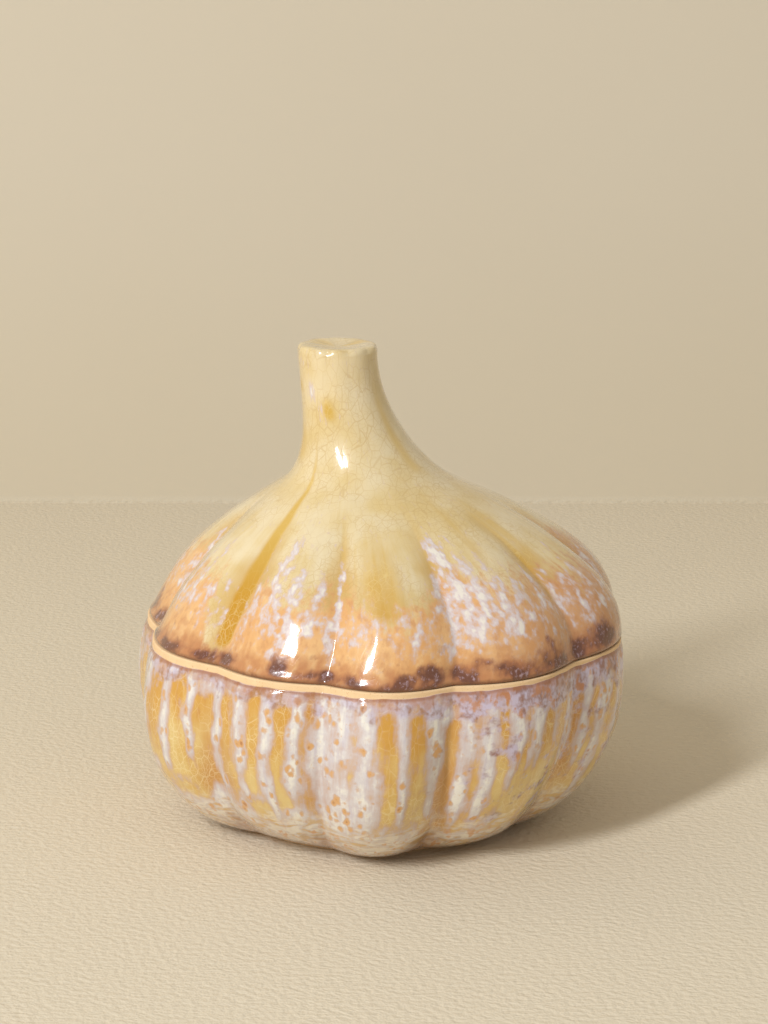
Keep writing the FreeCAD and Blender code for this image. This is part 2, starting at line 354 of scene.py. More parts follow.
def join(parts):
    """A profile from its named parts: the radius and the height of each row, and a dictionary that
    gives the first row of each part."""
    profile = np.concatenate(list(parts.values()))
    start = dict(zip(parts, np.cumsum([0] + [len(part) for part in parts.values()])))
    return profile[:, 0], profile[:, 1], start


def rows_from(first, last, count):
    """A grid with 1 on the rows from first up to last and 0 on the others."""
    row = np.arange(count)[:, None]
    return ((row >= first) & (row < last)) * np.ones(len(BEARING))


def profile_normals(radius, height):
    """Directions square to a profile, to its outer side, as (outward, up): its slope turned by a
    quarter turn."""
    run, rise = np.gradient(radius), np.gradient(height)
    length = np.hypot(run, rise) + 1e-9
    return np.stack([rise / length, -run / length], -1)


def glaze_relief(rings, flow, milk, low):
    """How far the glaze stands off the clay part's skin in mm, mostly inwards, so that the keeper stays
    within its size: slow waves, white glaze that stands proud of the amber and, on the low part, runs
    that hang down and valleys drawn in by the square of the distance from the crest."""
    waves = 0.15 * soft_noise(rings, 10.0, 11) + 0.03 * soft_noise(rings, 2.2, 14)
    hanging = 0.12 * soft_noise(flow, (3.2, 3.2, 12.0), 12) + 0.03 * soft_noise(flow, (1.2, 1.2, 1.6), 13)
    return waves + 0.2 * milk - 0.25 + low * (hanging - VALLEY * (1.0 - BULGE) ** 2)


def flow_over(rings):
    """Coordinates that follow the running glaze, in mm: the bearing laid round a drum, and the
    distance along the skin from its first ring."""
    reach = np.linalg.norm(rings[:, :, :2] - rings.mean(1, keepdims=True)[..., :2], axis=-1).mean(1)
    steps = np.hypot(np.diff(reach), np.diff(rings[..., 2].mean(1)))
    flow = np.broadcast_to(DRUM * OUTWARD, rings.shape).copy()
    flow[..., 2] = np.concatenate([[0.0], np.cumsum(steps)])[:, None]
    return flow


def raise_skin(rings, normals, amount):
    """Rings moved along their profile's normals by an amount in mm: its outward share along the
    bearing, and its upward share along Z."""
    direction = normals[:, None, :1] * OUTWARD + normals[:, None, 1:] * np.array([0, 0, 1.0])
    return rings + amount[..., None] * direction


def bowl_profile():
    """The bowl's profile in named parts of (radius, height), from the middle of its underside round the
    foot, up the glazed side, over the bare rim and down the hollow to the middle of its floor.

    The side is a quarter of an ellipse. Above the belly the radius falls with the square of the share
    of the way to the glaze line. The hollow is a quarter of an ellipse too, a wall further in."""
    foot_in, mouth_top = FOOT_R - FOOT_W, MOUTH_R + MOUTH_EDGE
    lift = np.linspace(math.acos(1.0 - FOOT_H / BELLY_H), np.pi / 2, 64)
    rise = np.concatenate([np.linspace(0, 0.8, 12)[1:], np.linspace(0.83, 1.0, 9)])
    upper = np.stack([BELLY_R - (BELLY_R - RIM_R) * rise ** 2, mix(BELLY_H, GLAZE_LINE, rise)], -1)
    rounded = np.clip((upper[:, 1] - GLAZE_LINE + GLAZE_ROUND) / GLAZE_ROUND, 0.0, 1.0)
    upper[:, 0] -= GLAZE_DRAWN_IN * rounded ** 2
    drop = np.linspace(np.pi / 2, 0.0, 28)
    return dict(
        recess=line((INNERMOST, FOOT_RECESS), (foot_in - ROUND, FOOT_RECESS), 5),
        recess_corner=corner((foot_in - ROUND, FOOT_RECESS), (foot_in, FOOT_RECESS),
                             (foot_in, FOOT_RECESS - ROUND), 3)[1:],
        foot_inner=corner((foot_in, ROUND), (foot_in, 0.0), (foot_in + ROUND, 0.0), 4),
        foot_flat=line((foot_in + FLAT, 0.0), (FOOT_R - FLAT, 0.0), 3),
        foot_outer=corner((FOOT_R - 0.5, 0.0), (FOOT_R, 0.0), (FOOT_R, 0.5), 4),
        foot_top=corner((FOOT_R, FOOT_H - ROUND), (FOOT_R, FOOT_H), (FOOT_R + 0.5, FOOT_H), 4),
        side=np.stack([mix(UNDER_R, BELLY_R, np.sin(lift)), BELLY_H * (1 - np.cos(lift))], -1),
        upper=upper,
        roll=corner(upper[-1], (BAND_R + 0.08, GLAZE_LINE + 0.2), (BAND_R, GLAZE_LINE + 0.3), 4)[1:],
        band=line((BAND_R, GLAZE_LINE + 0.6), (BAND_R, BOWL_H - 0.6), 4),
        band_edge=corner((BAND_R, BOWL_H - ROUND), (BAND_R, BOWL_H), (BAND_R - ROUND, BOWL_H), 5),
        seat=line((BAND_R - FLAT, BOWL_H), (mouth_top + 0.3, BOWL_H), 5),
        mouth_edge=corner((mouth_top, BOWL_H), (MOUTH_R + 0.1, BOWL_H - 0.1),
                          (MOUTH_R, BOWL_H - MOUTH_EDGE), 5),
        mouth=line((MOUTH_R, BOWL_H - 1.6), (MOUTH_R, BOWL_H - MOUTH_DEPTH + 0.5), 5),
        hollow=np.stack([mix(UNDER_R, BELLY_R - WALL, np.sin(drop)),
                         mix(FLOOR, BELLY_H, 1 - np.cos(drop))], -1),
        floor=line((UNDER_R - INNERMOST, FLOOR), (INNERMOST, FLOOR), 6),
    )


def make_bowl():
    """The bowl in one closed skin: a lobed ring for each row of its profile, leaning sideways with the
    distance below the rim, and moved by the thickness of its glaze."""
    parts = bowl_profile()
    radius, height, start = join(parts)
    count = len(radius)
    bearing = np.broadcast_to(BEARING, (count, len(BEARING)))
    level = np.broadcast_to(height[:, None], bearing.shape)
    outside = rows_from(start["side"], start["band"], count)
    inside = rows_from(start["mouth"], count, count)
    bare = 1.0 - np.maximum(outside, inside)
    bare[start["mouth"] - 2:start["mouth"] + 1] = 0.0

    # how lobed each row is: fully outside, not at all at the mouth, and softly in the hollow
    lobes = np.zeros(count)
    lobes[start["side"]:start["seat"]] = 1.0
    lobes[start["seat"]:start["mouth_edge"]] = np.linspace(0.8, 0.0, len(parts["seat"]))
    lobes[start["hollow"]:start["floor"]] = INSIDE_SOFTNESS * ease(
        0.0, 1.0, np.linspace(0.35, 3.0, len(parts["hollow"])))
    lobes[start["floor"]:] = np.linspace(INSIDE_SOFTNESS * 0.8, 0.0, len(parts["floor"]))
    fullness = mix(1.0, RIM_FULLNESS, (height / BOWL_H) ** 2)
    fullness[start["band"]:start["hollow"]] = RIM_FULLNESS
    centre = BOWL_SKEW * (1.0 - height / BOWL_H)
    centre[:start["side"]] = BOWL_SKEW
    centre[start["seat"]:start["hollow"]] = 0.0
    depth = bowl_groove(np.minimum(height, BOWL_H)) * lobes
    rings = lobed(radius, height, depth, fullness * lobes, centre)
    flow = flow_over(rings)
    flow[..., 2] -= flow[start["roll"], 0, 2]

    # the painted fields, at bearings and heights that noise bends
    bent_bearing = bearing + 1.8 * soft_noise(flow, (15, 15, 20), 31) + soft_noise(flow, (4.2, 4.2, 6), 32)
    bent_height = level + 3.5 * soft_noise(flow, (4.5, 4.5, 9), 33)
    milk = bowl_milk(bent_bearing, bent_height, soft_noise(flow, (7, 7, 5), 34)) * outside
    brim = np.clip((level - GLAZE_LINE + BRIM) / BRIM, 0.0, 1.0) * outside
    # how deep in a groove each point lies, which browns the glaze there, partly as painted shade
    groove = (1.0 - BULGE) * (depth / GROOVE_BELLY)[:, None]

    # the glaze's thickness, with a bead under its upper edge
    bead = 0.10 * np.exp(-((level - GLAZE_LINE + 1.0) / 1.3) ** 2) * outside
    share = above(level, 2.0, 5.0) * below(level, GLAZE_LINE - 1.2, 1.4) * outside
    amount = glaze_relief(rings, flow, milk, 1.0) * share + bead
    rings = raise_skin(rings, profile_normals(radius, height), amount)

    # the upper edge wanders up over the bare band, furthest on the right
    around = flow * (1, 1, 0)
    wander = 0.35 * soft_noise(around, 7.0, 3) + 0.15 * soft_noise(around, 2.5, 4)
    creep = 0.55 + 0.45 * np.sin(np.radians(bearing - 5.0)) + wander
    climb = above(level, GLAZE_LINE - 3.0, 3.0) * np.clip((BOWL_H - 0.6 - level) / 1.4, 0.0, 1.0)
    rings[..., 2] += creep * climb * rows_from(start["side"], start["band_edge"], count)
    return skin("glazed_bowl", rings, "bowl",
                dict(flow=flow, milk=milk, brim=brim, bare=bare, groove=groove, inside=inside))


def lid_outline():
    """The lid's glazed outline as (radius, height above the rim): two cubic curves that meet at the
    neck with one slope, the dome from the edge up and the stem to the rounding of its tip."""
    slope = np.array([NECK_FLARE, -1.0]) / math.hypot(NECK_FLARE, 1.0)
    neck = np.array([NECK_R, NECK_H])
    dome = ((LID_R, LID_EDGE), (LID_R - SHOULDER_LEAN, SHOULDER_PULL), neck + DOME_PULL * slope, neck)
    stem = (neck, neck - STEM_PULL * slope, (TIP_R, LID_H - 2 * TIP_ROUND), (TIP_R, LID_H - TIP_ROUND))
    return np.concatenate([bezier(dome, np.linspace(0, 1, 68)), bezier(stem, np.linspace(0, 1, 38)[1:])])


def lid_profile():
    """The lid's profile in named parts of (radius, height above the rim), from the top of its hollow down
    the inside, round the flange and the bare seat, up the glazed outline to the dished tip.

    The hollow is the outline moved in by a wall along its normals, at every third row. The dish falls
    with the square of the share of its radius."""
    outline = lid_outline()
    top = LID_H - WALL - TIP_DISH
    hollow = (outline - WALL * profile_normals(*outline.T))[::-3]
    hollow = hollow[(hollow[:, 1] > 2 * WALL) & (hollow[:, 1] < top - WALL)]
    fall = np.linspace(1.0, 0.25, 7)
    flange_end, seat_out = -FLANGE_DEPTH, LID_R - LID_EDGE
    return dict(
        roof=line((1.5, top), (TIP_R - WALL, top - 0.6), 3),
        hollow=hollow,
        hollow_foot=corner(hollow[-1], (FLANGE_BORE + 1.2, 5.0), (FLANGE_BORE, 0.0), 8)[1:],
        bore=line((FLANGE_BORE, -1.0), (FLANGE_BORE, flange_end + 0.6), 4),
        flange_inner=corner((FLANGE_BORE, flange_end + 0.3), (FLANGE_BORE, flange_end),
                            (FLANGE_BORE + 0.5, flange_end), 3),
        flange_outer=corner((FLANGE_R - FLANGE_EDGE - 0.3, flange_end), (FLANGE_R - 0.1, flange_end + 0.1),
                            (FLANGE_R, flange_end + FLANGE_EDGE + 0.2), 5),
        flange=line((FLANGE_R, flange_end + 1.6), (FLANGE_R, -0.2), 4),
        seat=line((FLANGE_R + 0.3, 0.0), (seat_out, 0.0), 5),
        edge=corner((seat_out + 0.3, 0.05), (LID_R, 0.1), (LID_R, LID_EDGE), 6)[:-1],
        outline=outline,
        tip=corner(outline[-1], (TIP_R, LID_H), (TIP_R - TIP_ROUND, LID_H), 7)[1:],
        dish=np.stack([(TIP_R - TIP_RIM) * fall, LID_H - TIP_DISH * (1 - fall ** 2)], -1),
    )


def make_lid():
    """The lid in one closed skin: a lobed ring for each row of its profile, round the leaning centre
    line, and moved by the thickness of its glaze."""
    parts = lid_profile()
    radius, height, start = join(parts)
    count = len(radius)
    bearing = np.broadcast_to(BEARING, (count, len(BEARING)))
    level = np.broadcast_to(height[:, None], bearing.shape)
    glazed = rows_from(start["edge"], count, count)
    inside = rows_from(0, start["bore"], count)
    bare = 1.0 - np.maximum(glazed, inside)

    # how lobed each row is: softly in the hollow, not at all round the flange, and fully outside
    lobes = np.zeros(count)
    lobes[start["hollow"]:start["hollow_foot"]] = INSIDE_SOFTNESS
    lobes[start["hollow_foot"]:start["bore"]] = np.linspace(INSIDE_SOFTNESS, 0.0, len(parts["hollow_foot"]))
    lobes[start["seat"]:start["edge"]] = np.linspace(0.0, 1.0, len(parts["seat"]))
    lobes[start["edge"]:] = 1.0
    risen = np.maximum(height, 0.0)
    depth = lid_groove(risen) * lobes
    fullness = RIM_FULLNESS * np.maximum(1.0 - risen / NECK_H, 0.0) * lobes
    rings = lobed(radius, BOWL_H + height, depth, fullness, lid_centre(risen))
    flow = flow_over(rings)
    flow[..., 2] = flow[start["dish"], 0, 2] - flow[..., 2]

    # the painted fields, at bearings and heights that noise bends
    bent_bearing = bearing + 2.0 * soft_noise(rings, 9.0, 35) + 1.2 * soft_noise(rings, 3.6, 36)
    bent_height = level + 2.5 * soft_noise(rings, 5.0, 37)
    skirt = lid_skirt(bent_bearing, bent_height) * glazed
    fleck = lid_flecks(bent_bearing, bent_height) * glazed
    pool = lid_pool(bearing + 0.6 * soft_noise(rings, 6.0, 38), level) * glazed
    burn = lid_burn(bent_bearing, bent_height) * glazed
    # how deep in a groove each point lies, which darkens the glaze there, partly as painted shade
    groove = (1.0 - BULGE) * np.maximum(depth / GROOVE_SHOULDER, 0.2)[:, None] * glazed

    # the glaze's thickness: thinner near the tip, uneven along the edge, and filling the stem's grooves
    low = below(level, 16.0, 24.0)
    share = glazed * above(level, 0.4, 2.5) * ease(1.0, 0.4, (level - 60.0) / 12.0)
    filling = 0.4 * (1.0 - low) * (1.0 - BULGE) * rows_from(0, start["tip"], count)
    bead = 0.12 * np.exp(-((level - 2.4) / 1.6) ** 2) * glazed * soft_noise(flow * (1, 1, 0), 6.0, 21)
    amount = glaze_relief(rings, flow, 0.5 * fleck, low) * share + filling + bead
    rings = raise_skin(rings, profile_normals(radius, height), amount)
    return skin("glazed_lid", rings, "lid", dict(
        flow=flow, skirt=skirt, fleck=fleck, pool=pool, burn=burn, bare=bare, groove=groove, inside=inside))


# Shader maths.
class Value:
    """A node's output. Each operator adds the Math node of its name."""

    def __init__(self, paint, socket):
        self.paint, self.socket = paint, socket

    def _sum(self, operation, *terms):
        return self.paint.node("ShaderNodeMath", {"operation": operation}, *terms)

    def __add__(self, other):
        return self._sum("ADD", self, other)

    def __radd__(self, other):
        return self._sum("ADD", other, self)

    def __sub__(self, other):
        return self._sum("SUBTRACT", self, other)

    def __rsub__(self, other):
        return self._sum("SUBTRACT", other, self)

    def __mul__(self, other):
        return self._sum("MULTIPLY", self, other)

    def __rmul__(self, other):
        return self._sum("MULTIPLY", other, self)


class Paint:
    """A material made of nodes, with its Principled shader ready."""

    def __init__(self, name, **constants):
        self.material = bpy.data.materials.new(name)
        self.material.use_nodes = True
        self.tree = self.material.node_tree
        self.shader = self.tree.nodes["Principled BSDF"]
        self.feed_named(self.shader, constants)

    def node(self, kind, settings, *inputs, out=0, **named):
        """Add a node: its settings, then its inputs by place or by name, and return one output. An
        input of None stays as it is."""
        node = self.tree.nodes.new(kind)
        for key, value in settings.items():
            setattr(node, key, value)
        for place, value in enumerate(inputs):
            self.feed(node.inputs[place], value)
        self.feed_named(node, named)
        return Value(self, node.outputs[out])

    def feed(self, socket, value):
        """Link a node's output to a socket, or set the socket to a number or a colour."""
        if isinstance(value, Value):
            self.tree.links.new(value.socket, socket)
        elif value is not None:
            socket.default_value = value

    def feed_named(self, node, values):
        """Feed a node's inputs by their names, with _ for a space."""
        for name, value in values.items():
            self.feed(node.inputs[name.replace("_", " ")], value)

    def step(self, value, low, high, start=0.0, end=1.0):
        """The value turned to start..end as it goes from low to high, eased at both ends."""
        return self.node("ShaderNodeMapRange", {"interpolation_type": "SMOOTHSTEP"},
                         value, low, high, start, end)

    def mix(self, share, first, second):
        """A colour between two colours. They are the seventh and the eighth input of the node."""
        return self.node("ShaderNodeMix", {"data_type": "RGBA"}, share, *[None] * 5, first, second, out=2)

    def field(self, name, vector=False):
        """A value stored on the mesh."""
        return self.node("ShaderNodeAttribute", {"attribute_name": name}, out=1 if vector else 2)

    def place(self):
        """The place on the object, in metres."""
        return self.node("ShaderNodeTexCoord", {}, out=3)

    def part_of(self, vector, axis):
        """The vector's number along X, Y or Z."""
        return self.node("ShaderNodeSeparateXYZ", {}, vector, out="XYZ".index(axis))

    def stretch(self, vector, scale):
        """The vector with each of its numbers times its own scale."""
        return self.node("ShaderNodeMapping", {}, vector, (0, 0, 0), (0, 0, 0), scale)

    def noise(self, vector, scale, detail=3.0, rough=0.5, distortion=0.0):
        """Noise from 0 to 1."""
        return self.node("ShaderNodeTexNoise", {}, Vector=vector, Scale=scale, Detail=detail,
                         Roughness=rough, Distortion=distortion)

    def cells(self, vector, scale, feature="F1", randomness=1.0):
        """The distance from the middle of a random cell or, for another feature, from its border."""
        return self.node("ShaderNodeTexVoronoi", {"feature": feature}, Vector=vector, Scale=scale,
                         Randomness=randomness)

    def finish(self, **links):
        """The material, with what varies over it linked to its shader."""
        self.feed_named(self.shader, links)
        return self.material


def shade(red, green, blue):
    """A colour given as it is seen, from 0 to 255, as the linear colour that the shaders take."""
    return (*(((c / 255 + 0.055) / 1.055) ** 2.4 if c > 10 else c / 3294 for c in (red, green, blue)), 1.0)


# Clay and plain glaze.
CLAY, DEEP_CLAY, GROG = shade(244, 212, 168), shade(232, 194, 146), shade(190, 140, 96)
CREAM, HONEY, AMBER = shade(229, 211, 172), shade(219, 192, 132), shade(206, 150, 58)
# The bowl: amber ground with painted shade, white runs, rust spots, patches under the rim, marbling and a
# dark bottom.
STRAW, SYRUP, TOFFEE = shade(224, 196, 130), shade(218, 180, 100), shade(188, 122, 56)
VALLEY_POOL_AND_SHADE, PALE_CRACK = shade(192, 130, 72), shade(242, 222, 172)
RUN_EDGE, VIOLET, MILKY, WHITE = (shade(206, 152, 84), shade(200, 177, 172), shade(215, 208, 206),
                                  shade(236, 230, 216))
LILAC_THREAD = shade(198, 188, 200)
SPOT_HALO, SPOT, SPOT_HEART, FRECKLE = (shade(196, 162, 142), shade(218, 166, 104), shade(178, 120, 74),
                                        shade(210, 166, 124))
PLUM, MAUVE, RIM_RUST = shade(148, 104, 92), shade(200, 188, 208), shade(192, 124, 74)
RIM_TAN, RIM_LINE = shade(182, 122, 74), shade(160, 104, 70)
MARBLE_TAN, MARBLE_GREY, MARBLE_CREAM, MARBLE_DROP = (shade(216, 180, 118), shade(216, 204, 192),
                                                      shade(238, 229, 208), shade(204, 178, 150))
ORANGE, BOTTOM_DARK = shade(212, 152, 92), shade(154, 104, 70)
# The lid: grooves, pools, crackle, apricot skirt, flecks, burns; painted shade in grooves, on the right and
# at the edge.
GROOVE_HONEY_AND_SHADE, THIN_POOL, THICK_POOL = shade(204, 164, 92), shade(210, 170, 78), shade(196, 140, 18)
TAN_CRACK, POOL_CRACK = shade(190, 150, 84), shade(234, 210, 146)
APRICOT, DEEP_APRICOT, LIGHT_APRICOT = shade(233, 186, 128), shade(222, 166, 106), shade(238, 200, 144)
SKIRT_BROWN, SHADE_SIDE_BROWN, SHADE_SIDE_VIOLET = shade(198, 142, 96), shade(188, 132, 92), shade(196, 164, 158)
SKIRT_FOOT = shade(182, 118, 76)
FLECK_HALO, LILAC_FLECK = shade(212, 186, 174), shade(216, 203, 204)
SINGED, CHAR, ASH, EDGE_BREAK_AND_SHADE = (shade(162, 104, 70), shade(112, 70, 54), shade(172, 146, 152),
                                shade(112, 70, 46))
# The backdrop, with painted light towards the front of the floor and painted shade low on the wall.
NEAR_FLOOR_LIT, FAR_FLOOR, SMUDGE = shade(226, 213, 189), shade(219, 206, 182), shade(196, 180, 152)
LOW_WALL_SHADE, HIGH_WALL = shade(210, 198, 174), shade(212, 201, 180)


class Glaze(Paint):
    """What both glazed pieces share: their fields, the noises that break the glaze up, and the clay.
    The noises run from about -1 to 1."""

    def __init__(self, name, fields):
        super().__init__(name, Coat_Roughness=0.08, Coat_IOR=1.45, IOR=1.5, Specular_IOR_Level=0.2)
        self.on_object = self.place()
        self.flow = self.field("flow", vector=True)
        for field in ("bare", "groove", "inside", *fields):
            setattr(self, field, self.field(field))
        self.height = self.part_of(self.on_object, "Z") * 1000.0
        # painted shade: how far a point lies to the right, the side away from the key light, for masks that
        # darken the glaze there
        sideways = self.part_of(self.on_object, "X")
        self.right = self.step(sideways, 0.010, 0.062)
        self.shaded_right_near = self.step(sideways, -0.002, 0.030)
        self.streaks = self.flowing(2.4, 16.0, 4.0)
        self.ragged = self.flowing(1.9, 2.6, 3.0)
        self.blotches = self.flowing(2.6, 3.4, 1.5)
        self.specks = self.flowing(0.8, 1.0, 3.0)
        self.drops = self.flowing(1.9, 2.3, 2.0)
        self.clouds = (self.noise(self.on_object, 75.0, 2.0) - 0.5) * 4.0
        self.grain = self.noise(self.on_object, 1500.0, 2.0)
        self.lines = self.crackle()

    def flowing(self, across, down, detail):
        """Noise in the flow's coordinates, with a size in mm across the flow and another down it."""
        grid = self.stretch(self.flow, (1 / across, 1 / across, 1 / down))
        return (self.noise(grid, 1.0, detail, 0.6) - 0.5) * 4.0

    def crackle(self):
        """Crackle lines from 0 to 1: the borders of cells a few mm wide, with finer ones between, bent
        by noise and fading from place to place."""
        reach = (0.0026, 0.0026, 0.0026)
        bend = self.noise(self.on_object, 160.0, 2.0)
        bends = self.node("ShaderNodeCombineXYZ", {}, bend, bend, bend)
        bent = self.node("ShaderNodeVectorMath", {"operation": "MULTIPLY_ADD"},
                         bends, reach, self.on_object)
        long_cells = self.stretch(bent, (1.0, 1.0, 0.48))
        coarse = self.step(self.cells(long_cells, 430.0, "DISTANCE_TO_EDGE", 0.9), 0.010, 0.050, 1.0, 0.0)
        fine = self.step(self.cells(bent, 700.0, "DISTANCE_TO_EDGE", 0.9), 0.01, 0.06, 0.7, 0.0)
        fade = self.step(self.noise(self.on_object, 60.0, 2.0), 0.36, 0.58, 0.2, 1.0)
        return self.node("ShaderNodeMath", {"operation": "MAXIMUM"}, coarse, fine * fade) * fade

    def clay(self):
        """Bare fired clay: apricot, with fine specks of grog."""
        tone = self.mix(self.noise(self.on_object, 240.0, 4.0), CLAY, DEEP_CLAY)
        return self.mix(self.step(self.noise(self.on_object, 2600.0, 2.0), 0.62, 0.72) * 0.5, tone, GROG)

    def done(self, colour, raised):
        """Plain honey glaze inside, clay where it is bare, and the shader's links."""
        plain = self.mix(self.step(self.clouds, -0.7, 0.7), CREAM, HONEY)
        colour = self.mix(self.inside, colour, self.mix(self.lines * 0.3, plain, AMBER))
        colour = self.mix(self.bare, colour, self.clay())
        skin_height = self.noise(self.on_object, 420.0, 2.0) * 0.5 + self.lines * -0.2 + raised
        normal = self.node("ShaderNodeBump", {}, Strength=0.25, Distance=0.00025, Height=skin_height)
        return self.finish(Base_Color=colour, Roughness=self.bare * 0.5 + self.grain * 0.12 + 0.16,
                           Coat_Weight=1.0 - self.bare, Normal=normal)


def bowl_glaze():
    """Reactive glaze on the bowl: amber under white runs that are violet at their edges and spotted
    with rust where they are thick, plum and rusty patches under the rim, and marbling round the foot."""
    g = Glaze("bowl_glaze", ("milk", "brim"))
    # amber ground, deepest in the upper half and browner in the grooves, partly glaze gathered there and
    # partly painted shade
    ground = g.mix(g.step(g.clouds + g.streaks * 0.3, -0.8, 0.9), STRAW, SYRUP)
    deep = g.step(g.height + g.streaks * 5.0 + g.clouds * 6.0, 22.0, 44.0)
    ground = g.mix(deep * 0.9, ground, AMBER)
    ground = g.mix(g.step(g.streaks + g.ragged * 0.2, 0.25, 0.8) * deep * 0.6, ground, TOFFEE)
    ground = g.mix(g.step(g.groove + g.clouds * 0.3, 0.35, 1.0) * 0.65, ground, VALLEY_POOL_AND_SHADE)
    ground = g.mix(g.lines * 0.5, ground, PALE_CRACK)
    # white runs, soft and violet at their edges, with lilac threads
    amount = g.milk + g.blotches * 0.16 + g.ragged * 0.10 + g.streaks * 0.30
    colour = g.mix(g.step(amount, 0.00, 0.45) * 0.4, ground, RUN_EDGE)
    colour = g.mix(g.step(amount, 0.14, 0.60) * 0.8, colour, VIOLET)
    colour = g.mix(g.step(amount, 0.34, 0.92) * 0.95, colour, MILKY)
    colour = g.mix(g.step(amount + g.drops * 0.25, 0.72, 1.20), colour, WHITE)
    threads = g.step(g.flowing(1.5, 12.0, 2.0) + g.drops * 0.3, 0.1, 1.0)
    colour = g.mix(threads * g.step(amount, 0.4, 0.8) * 0.5, colour, LILAC_THREAD)
    # rust spots in the thick white, darker at their hearts
    thick = g.step(amount, 0.42, 0.80)
    spots = g.cells(g.stretch(g.flow, (0.38, 0.38, 0.30)), 1.0)
    spots = spots + g.ragged * 0.20 - g.blotches * 0.30 - g.clouds * 0.06
    colour = g.mix(g.step(spots, 0.47, 0.24) * thick * 0.6, colour, SPOT_HALO)
    colour = g.mix(g.step(spots, 0.38, 0.10) * thick * 0.95, colour, SPOT)
    colour = g.mix(g.step(spots + g.specks * 0.15, 0.08, -0.2) * thick * 0.8, colour, SPOT_HEART)
    colour = g.mix(g.step(g.specks + g.ragged * 0.4, 0.4, 1.1) * thick * 0.45, colour, FRECKLE)
    # mauve, plum and rusty patches under the rim; more and rustier on the right, which is painted shade;
    # with a dark line at the edge
    drop = (1.0 - g.brim) * BRIM
    patches = g.flowing(5.5, 4.5, 3.0)
    under = g.step(drop + patches * 5.0 + g.ragged * 0.8 - g.shaded_right_near * 3.4, 4.2, 0.4)
    mauve = g.mix(g.step(g.specks * 0.4 + g.drops + g.clouds * 0.6, -0.9, 0.5), PLUM, MAUVE)
    rusty = g.step(g.ragged + g.blotches, 0.2, 1.0) * (0.3 + g.shaded_right_near * 0.6)
    colour = g.mix(under * (0.6 + g.shaded_right_near * 0.28), colour, g.mix(rusty, mauve, RIM_RUST))
    tanned = g.step(drop + g.flowing(4.0, 3.0, 3.0) * 3.0, 2.2, -0.2)
    colour = g.mix(tanned * 0.5, colour, RIM_TAN)
    colour = g.mix(g.step(drop + g.ragged * 0.2, 0.7, 0.1) * 0.6, colour, RIM_LINE)
    # marbling round the foot, and darker brown at the very bottom, least in the grooves
    foot = g.step(g.height + g.ragged * 2.0 + g.blotches * 3.0 + g.clouds * 2.0, 17.0, 9.0)
    ripples = g.noise(g.stretch(g.flow, (0.14, 0.14, 0.36)), 1.0, 3.0, 0.5, 1.4)
    swirl = g.mix(g.step(ripples, 0.40, 0.50), MARBLE_TAN, MARBLE_GREY)
    swirl = g.mix(g.step(ripples, 0.50, 0.60), swirl, MARBLE_CREAM)
    swirl = g.mix(g.step(g.drops + g.specks * 0.3, 0.3, 1.0) * 0.5, swirl, MARBLE_DROP)
    colour = g.mix(foot * 0.75, colour, swirl)
    colour = g.mix(foot * g.step(g.blotches + g.ragged * 0.5, 0.3, 0.8) * 0.8, colour, ORANGE)
    bottom_dark = g.step(g.height - g.groove * 11.0 + g.blotches * 3.0, 5.0, -2.0)
    colour = g.mix(bottom_dark * 0.6, colour, BOTTOM_DARK)
    return g.done(colour, thick * 0.5 + g.step(spots, 0.3, 0.1) * thick * -0.3)


